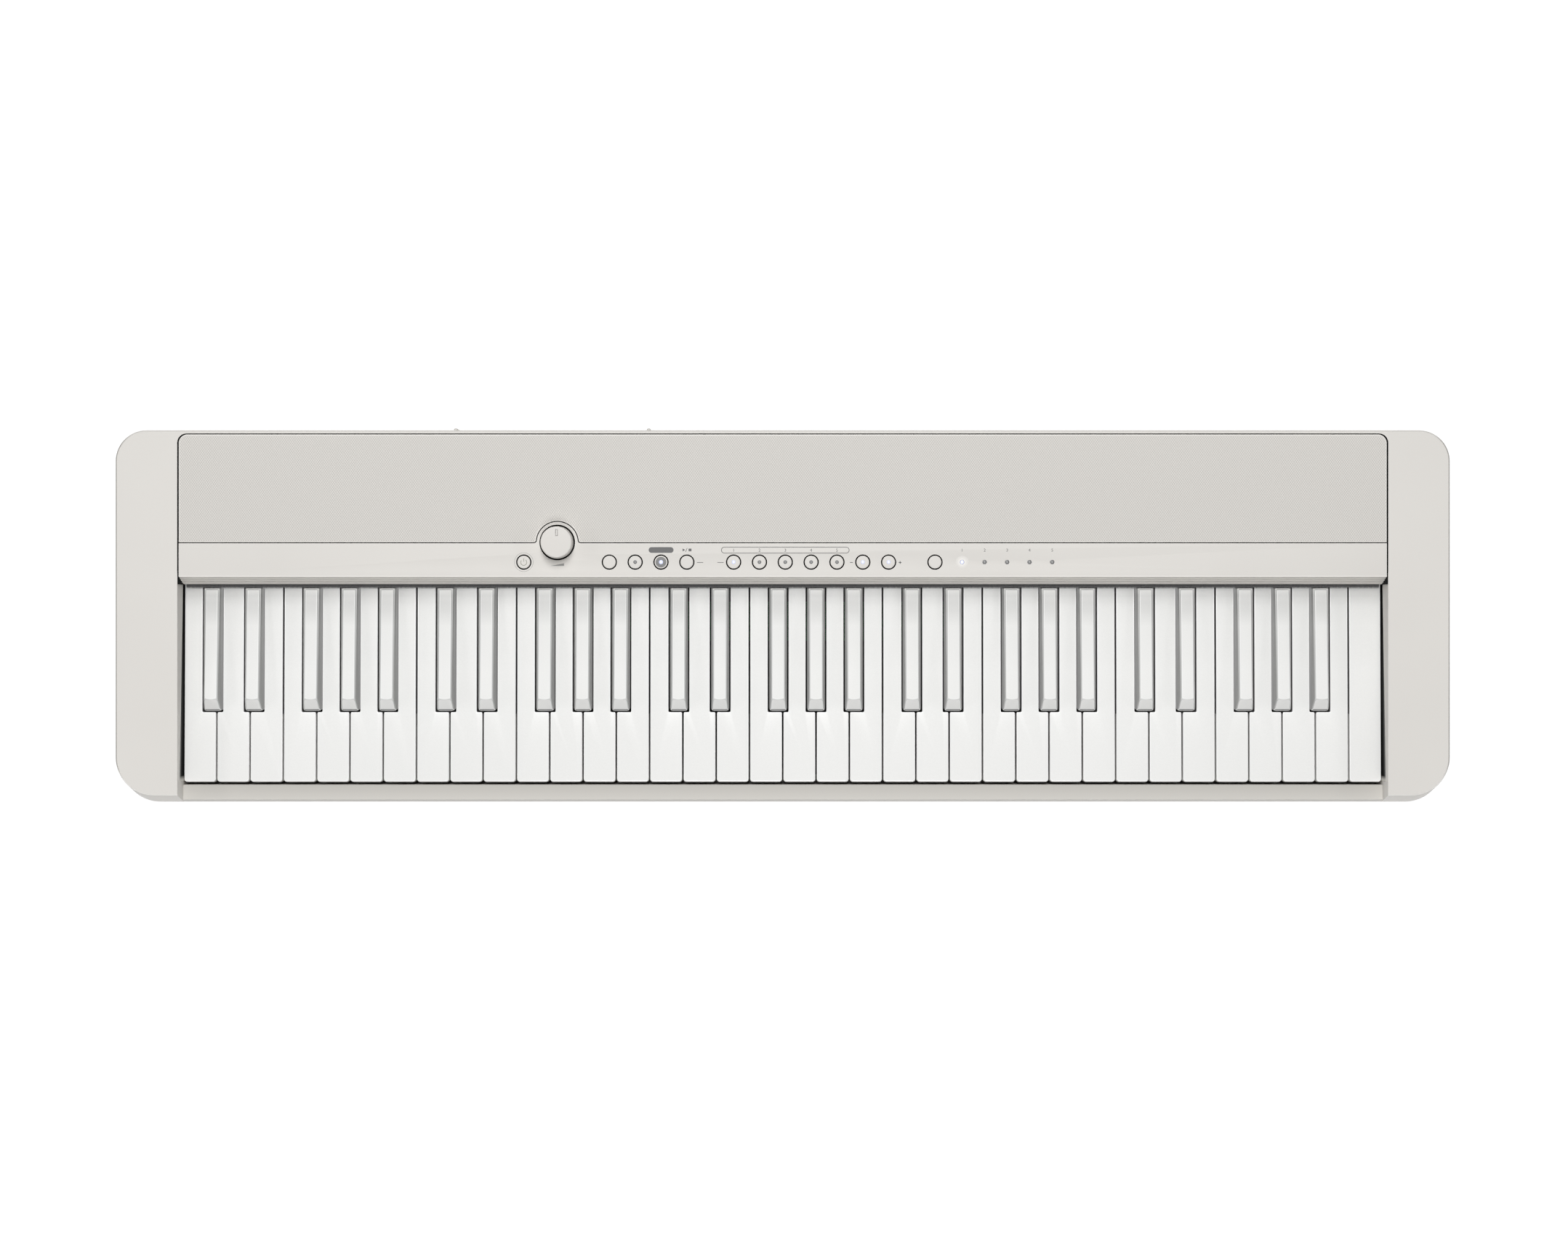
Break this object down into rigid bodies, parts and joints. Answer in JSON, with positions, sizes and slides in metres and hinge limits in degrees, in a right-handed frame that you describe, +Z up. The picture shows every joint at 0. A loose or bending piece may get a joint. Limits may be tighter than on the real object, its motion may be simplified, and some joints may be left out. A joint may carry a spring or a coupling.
{
  "type": "portable keyboard",
  "caption": "Portable electronic keyboard with piano-style white keys, cloth speaker grille, volume knob, round push buttons and a battery cover underneath.",
  "frame": {"origin": "centre of the bounding box in plan, on the surface that the rubber feet stand on", "axes": "+X along the keys towards the high notes, +Y from the player towards the rear, +Z up"},
  "size_m": [0.93, 0.2616, 0.073],
  "materials": {
    "case_plastic": "fine satin texture, warm white",
    "panel_plastic": "fine satin texture, warm white",
    "speaker_cloth": "fine diagonal dotted weave",
    "felt": "fuzzy dark grey felt",
    "natural_plastic": "semi-gloss white",
    "sharp_plastic": "satin white",
    "button_plastic": "satin",
    "button_plastic_grey": "satin grey",
    "knob_plastic": "satin",
    "chassis_plastic": "plain moulded",
    "circuit_board": "green laminate",
    "speaker_metal": "black basket and paper cone",
    "light_guide": "clear diffusing plastic",
    "rubber": "matt",
    "socket_plastic": "black",
    "socket_metal": "plated"
  },
  "bodies": {
    "case": {"control_panel": "panel_plastic", "dc_inlet": "socket_plastic", "felt_strip": "felt", "foot_front_left": "rubber", "foot_front_right": "rubber", "foot_rear_left": "rubber", "foot_rear_right": "rubber", "indicator_light_guide": "light_guide", "key_chassis": "chassis_plastic", "key_contact_board": "circuit_board", "lower_case": "case_plastic", "main_board": "circuit_board", "panel_board": "circuit_board", "pedal_jack": "socket_plastic", "phones_jack": "socket_plastic", "speaker_grille": "speaker_cloth", "speaker_left": "speaker_metal", "speaker_right": "speaker_metal", "upper_case": "case_plastic", "usb_port": "socket_metal"},
    "balance_minus_button": {"balance_minus_button": "button_plastic"},
    "balance_plus_button": {"balance_plus_button": "button_plastic"},
    "battery_cover": {"battery_cover": "case_plastic"},
    "effect_button": {"effect_button": "button_plastic_grey"},
    "function_button": {"function_button": "button_plastic"},
    "key_a4": {"key_a4": "natural_plastic"},
    "key_a_sharp4": {"key_a_sharp4": "sharp_plastic"},
    "key_b4": {"key_b4": "natural_plastic"},
    "key_c4": {"key_c4": "natural_plastic"},
    "key_c7": {"key_c7": "natural_plastic"},
    "key_c_sharp4": {"key_c_sharp4": "sharp_plastic"},
    "key_d4": {"key_d4": "natural_plastic"},
    "key_d_sharp4": {"key_d_sharp4": "sharp_plastic"},
    "key_e4": {"key_e4": "natural_plastic"},
    "key_f4": {"key_f4": "natural_plastic"},
    "key_f_sharp4": {"key_f_sharp4": "sharp_plastic"},
    "key_g4": {"key_g4": "natural_plastic"},
    "key_g_sharp4": {"key_g_sharp4": "sharp_plastic"},
    "keys_c_e_g_b_2": {"keys_c_e_g_b_2": "natural_plastic"},
    "keys_c_e_g_b_3": {"keys_c_e_g_b_3": "natural_plastic"},
    "keys_c_e_g_b_5": {"keys_c_e_g_b_5": "natural_plastic"},
    "keys_c_e_g_b_6": {"keys_c_e_g_b_6": "natural_plastic"},
    "keys_d_f_a_2": {"keys_d_f_a_2": "natural_plastic"},
    "keys_d_f_a_3": {"keys_d_f_a_3": "natural_plastic"},
    "keys_d_f_a_5": {"keys_d_f_a_5": "natural_plastic"},
    "keys_d_f_a_6": {"keys_d_f_a_6": "natural_plastic"},
    "keys_sharps_2": {"keys_sharps_2": "sharp_plastic"},
    "keys_sharps_3": {"keys_sharps_3": "sharp_plastic"},
    "keys_sharps_5": {"keys_sharps_5": "sharp_plastic"},
    "keys_sharps_6": {"keys_sharps_6": "sharp_plastic"},
    "play_button": {"play_button": "button_plastic"},
    "power_button": {"power_button": "button_plastic"},
    "song_button": {"song_button": "button_plastic"},
    "tone_button_1": {"tone_button_1": "button_plastic"},
    "tone_button_2": {"tone_button_2": "button_plastic"},
    "tone_button_3": {"tone_button_3": "button_plastic"},
    "tone_button_4": {"tone_button_4": "button_plastic"},
    "tone_button_5": {"tone_button_5": "button_plastic"},
    "volume_knob": {"volume_knob": "knob_plastic"},
    "wireless_button": {"wireless_button": "button_plastic"}
  },
  "joints": [
    {"name": "key_a4_press", "type": "hinge", "parent": "case", "child": "key_a4", "pos_m": [0, 0.0612, 0.03], "axis": [1, 0, 0], "range_deg": [0, 3], "stiffness_Nm_per_rad": 0.3, "springref_deg": -20.05},
    {"name": "key_a_sharp4_press", "type": "hinge", "parent": "case", "child": "key_a_sharp4", "pos_m": [0, 0.0612, 0.03], "axis": [1, 0, 0], "range_deg": [0, 3], "stiffness_Nm_per_rad": 0.3, "springref_deg": -20.05},
    {"name": "key_b4_press", "type": "hinge", "parent": "case", "child": "key_b4", "pos_m": [0, 0.0612, 0.03], "axis": [1, 0, 0], "range_deg": [0, 3], "stiffness_Nm_per_rad": 0.3, "springref_deg": -20.05},
    {"name": "key_c4_press", "type": "hinge", "parent": "case", "child": "key_c4", "pos_m": [0, 0.0612, 0.03], "axis": [1, 0, 0], "range_deg": [0, 3], "stiffness_Nm_per_rad": 0.3, "springref_deg": -20.05},
    {"name": "key_c7_press", "type": "hinge", "parent": "case", "child": "key_c7", "pos_m": [0, 0.0612, 0.03], "axis": [1, 0, 0], "range_deg": [0, 3], "stiffness_Nm_per_rad": 0.3, "springref_deg": -20.05},
    {"name": "key_c_sharp4_press", "type": "hinge", "parent": "case", "child": "key_c_sharp4", "pos_m": [0, 0.0612, 0.03], "axis": [1, 0, 0], "range_deg": [0, 3], "stiffness_Nm_per_rad": 0.3, "springref_deg": -20.05},
    {"name": "key_d4_press", "type": "hinge", "parent": "case", "child": "key_d4", "pos_m": [0, 0.0612, 0.03], "axis": [1, 0, 0], "range_deg": [0, 3], "stiffness_Nm_per_rad": 0.3, "springref_deg": -20.05},
    {"name": "key_d_sharp4_press", "type": "hinge", "parent": "case", "child": "key_d_sharp4", "pos_m": [0, 0.0612, 0.03], "axis": [1, 0, 0], "range_deg": [0, 3], "stiffness_Nm_per_rad": 0.3, "springref_deg": -20.05},
    {"name": "key_e4_press", "type": "hinge", "parent": "case", "child": "key_e4", "pos_m": [0, 0.0612, 0.03], "axis": [1, 0, 0], "range_deg": [0, 3], "stiffness_Nm_per_rad": 0.3, "springref_deg": -20.05},
    {"name": "key_f4_press", "type": "hinge", "parent": "case", "child": "key_f4", "pos_m": [0, 0.0612, 0.03], "axis": [1, 0, 0], "range_deg": [0, 3], "stiffness_Nm_per_rad": 0.3, "springref_deg": -20.05},
    {"name": "key_f_sharp4_press", "type": "hinge", "parent": "case", "child": "key_f_sharp4", "pos_m": [0, 0.0612, 0.03], "axis": [1, 0, 0], "range_deg": [0, 3], "stiffness_Nm_per_rad": 0.3, "springref_deg": -20.05},
    {"name": "key_g4_press", "type": "hinge", "parent": "case", "child": "key_g4", "pos_m": [0, 0.0612, 0.03], "axis": [1, 0, 0], "range_deg": [0, 3], "stiffness_Nm_per_rad": 0.3, "springref_deg": -20.05},
    {"name": "key_g_sharp4_press", "type": "hinge", "parent": "case", "child": "key_g_sharp4", "pos_m": [0, 0.0612, 0.03], "axis": [1, 0, 0], "range_deg": [0, 3], "stiffness_Nm_per_rad": 0.3, "springref_deg": -20.05},
    {"name": "keys_c_e_g_b_2_press", "type": "hinge", "parent": "case", "child": "keys_c_e_g_b_2", "pos_m": [0, 0.0612, 0.03], "axis": [1, 0, 0], "range_deg": [0, 3], "stiffness_Nm_per_rad": 1.2, "springref_deg": -20.05},
    {"name": "keys_c_e_g_b_3_press", "type": "hinge", "parent": "case", "child": "keys_c_e_g_b_3", "pos_m": [0, 0.0612, 0.03], "axis": [1, 0, 0], "range_deg": [0, 3], "stiffness_Nm_per_rad": 1.2, "springref_deg": -20.05},
    {"name": "keys_c_e_g_b_5_press", "type": "hinge", "parent": "case", "child": "keys_c_e_g_b_5", "pos_m": [0, 0.0612, 0.03], "axis": [1, 0, 0], "range_deg": [0, 3], "stiffness_Nm_per_rad": 1.2, "springref_deg": -20.05},
    {"name": "keys_c_e_g_b_6_press", "type": "hinge", "parent": "case", "child": "keys_c_e_g_b_6", "pos_m": [0, 0.0612, 0.03], "axis": [1, 0, 0], "range_deg": [0, 3], "stiffness_Nm_per_rad": 1.2, "springref_deg": -20.05},
    {"name": "keys_d_f_a_2_press", "type": "hinge", "parent": "case", "child": "keys_d_f_a_2", "pos_m": [0, 0.0612, 0.03], "axis": [1, 0, 0], "range_deg": [0, 3], "stiffness_Nm_per_rad": 0.9, "springref_deg": -20.05},
    {"name": "keys_d_f_a_3_press", "type": "hinge", "parent": "case", "child": "keys_d_f_a_3", "pos_m": [0, 0.0612, 0.03], "axis": [1, 0, 0], "range_deg": [0, 3], "stiffness_Nm_per_rad": 0.9, "springref_deg": -20.05},
    {"name": "keys_d_f_a_5_press", "type": "hinge", "parent": "case", "child": "keys_d_f_a_5", "pos_m": [0, 0.0612, 0.03], "axis": [1, 0, 0], "range_deg": [0, 3], "stiffness_Nm_per_rad": 0.9, "springref_deg": -20.05},
    {"name": "keys_d_f_a_6_press", "type": "hinge", "parent": "case", "child": "keys_d_f_a_6", "pos_m": [0, 0.0612, 0.03], "axis": [1, 0, 0], "range_deg": [0, 3], "stiffness_Nm_per_rad": 0.9, "springref_deg": -20.05},
    {"name": "keys_sharps_2_press", "type": "hinge", "parent": "case", "child": "keys_sharps_2", "pos_m": [0, 0.0612, 0.03], "axis": [1, 0, 0], "range_deg": [0, 3], "stiffness_Nm_per_rad": 1.5, "springref_deg": -20.05},
    {"name": "keys_sharps_3_press", "type": "hinge", "parent": "case", "child": "keys_sharps_3", "pos_m": [0, 0.0612, 0.03], "axis": [1, 0, 0], "range_deg": [0, 3], "stiffness_Nm_per_rad": 1.5, "springref_deg": -20.05},
    {"name": "keys_sharps_5_press", "type": "hinge", "parent": "case", "child": "keys_sharps_5", "pos_m": [0, 0.0612, 0.03], "axis": [1, 0, 0], "range_deg": [0, 3], "stiffness_Nm_per_rad": 1.5, "springref_deg": -20.05},
    {"name": "keys_sharps_6_press", "type": "hinge", "parent": "case", "child": "keys_sharps_6", "pos_m": [0, 0.0612, 0.03], "axis": [1, 0, 0], "range_deg": [0, 3], "stiffness_Nm_per_rad": 1.5, "springref_deg": -20.05},
    {"name": "power_button_press", "type": "slide", "parent": "case", "child": "power_button", "axis": [0, 0, -1], "range_m": [0, 0.0008], "stiffness_N_per_m": 150, "springref_m": -0.004},
    {"name": "function_button_press", "type": "slide", "parent": "case", "child": "function_button", "axis": [0, 0, -1], "range_m": [0, 0.0008], "stiffness_N_per_m": 150, "springref_m": -0.004},
    {"name": "wireless_button_press", "type": "slide", "parent": "case", "child": "wireless_button", "axis": [0, 0, -1], "range_m": [0, 0.0008], "stiffness_N_per_m": 150, "springref_m": -0.004},
    {"name": "effect_button_press", "type": "slide", "parent": "case", "child": "effect_button", "axis": [0, 0, -1], "range_m": [0, 0.0008], "stiffness_N_per_m": 150, "springref_m": -0.004},
    {"name": "play_button_press", "type": "slide", "parent": "case", "child": "play_button", "axis": [0, 0, -1], "range_m": [0, 0.0008], "stiffness_N_per_m": 150, "springref_m": -0.004},
    {"name": "tone_button_1_press", "type": "slide", "parent": "case", "child": "tone_button_1", "axis": [0, 0, -1], "range_m": [0, 0.0008], "stiffness_N_per_m": 150, "springref_m": -0.004},
    {"name": "tone_button_2_press", "type": "slide", "parent": "case", "child": "tone_button_2", "axis": [0, 0, -1], "range_m": [0, 0.0008], "stiffness_N_per_m": 150, "springref_m": -0.004},
    {"name": "tone_button_3_press", "type": "slide", "parent": "case", "child": "tone_button_3", "axis": [0, 0, -1], "range_m": [0, 0.0008], "stiffness_N_per_m": 150, "springref_m": -0.004},
    {"name": "tone_button_4_press", "type": "slide", "parent": "case", "child": "tone_button_4", "axis": [0, 0, -1], "range_m": [0, 0.0008], "stiffness_N_per_m": 150, "springref_m": -0.004},
    {"name": "tone_button_5_press", "type": "slide", "parent": "case", "child": "tone_button_5", "axis": [0, 0, -1], "range_m": [0, 0.0008], "stiffness_N_per_m": 150, "springref_m": -0.004},
    {"name": "balance_minus_button_press", "type": "slide", "parent": "case", "child": "balance_minus_button", "axis": [0, 0, -1], "range_m": [0, 0.0008], "stiffness_N_per_m": 150, "springref_m": -0.004},
    {"name": "balance_plus_button_press", "type": "slide", "parent": "case", "child": "balance_plus_button", "axis": [0, 0, -1], "range_m": [0, 0.0008], "stiffness_N_per_m": 150, "springref_m": -0.004},
    {"name": "song_button_press", "type": "slide", "parent": "case", "child": "song_button", "axis": [0, 0, -1], "range_m": [0, 0.0008], "stiffness_N_per_m": 150, "springref_m": -0.004},
    {"name": "volume_knob_turn", "type": "hinge", "parent": "case", "child": "volume_knob", "pos_m": [-0.1571, 0.051, 0.067], "axis": [0, 0, 1], "range_deg": [-150, 150]},
    {"name": "battery_cover_open", "type": "hinge", "parent": "case", "child": "battery_cover", "pos_m": [0.09, 0.0847, 0.0038], "axis": [-1, 0, 0], "range_deg": [0, 95]}
  ]
}
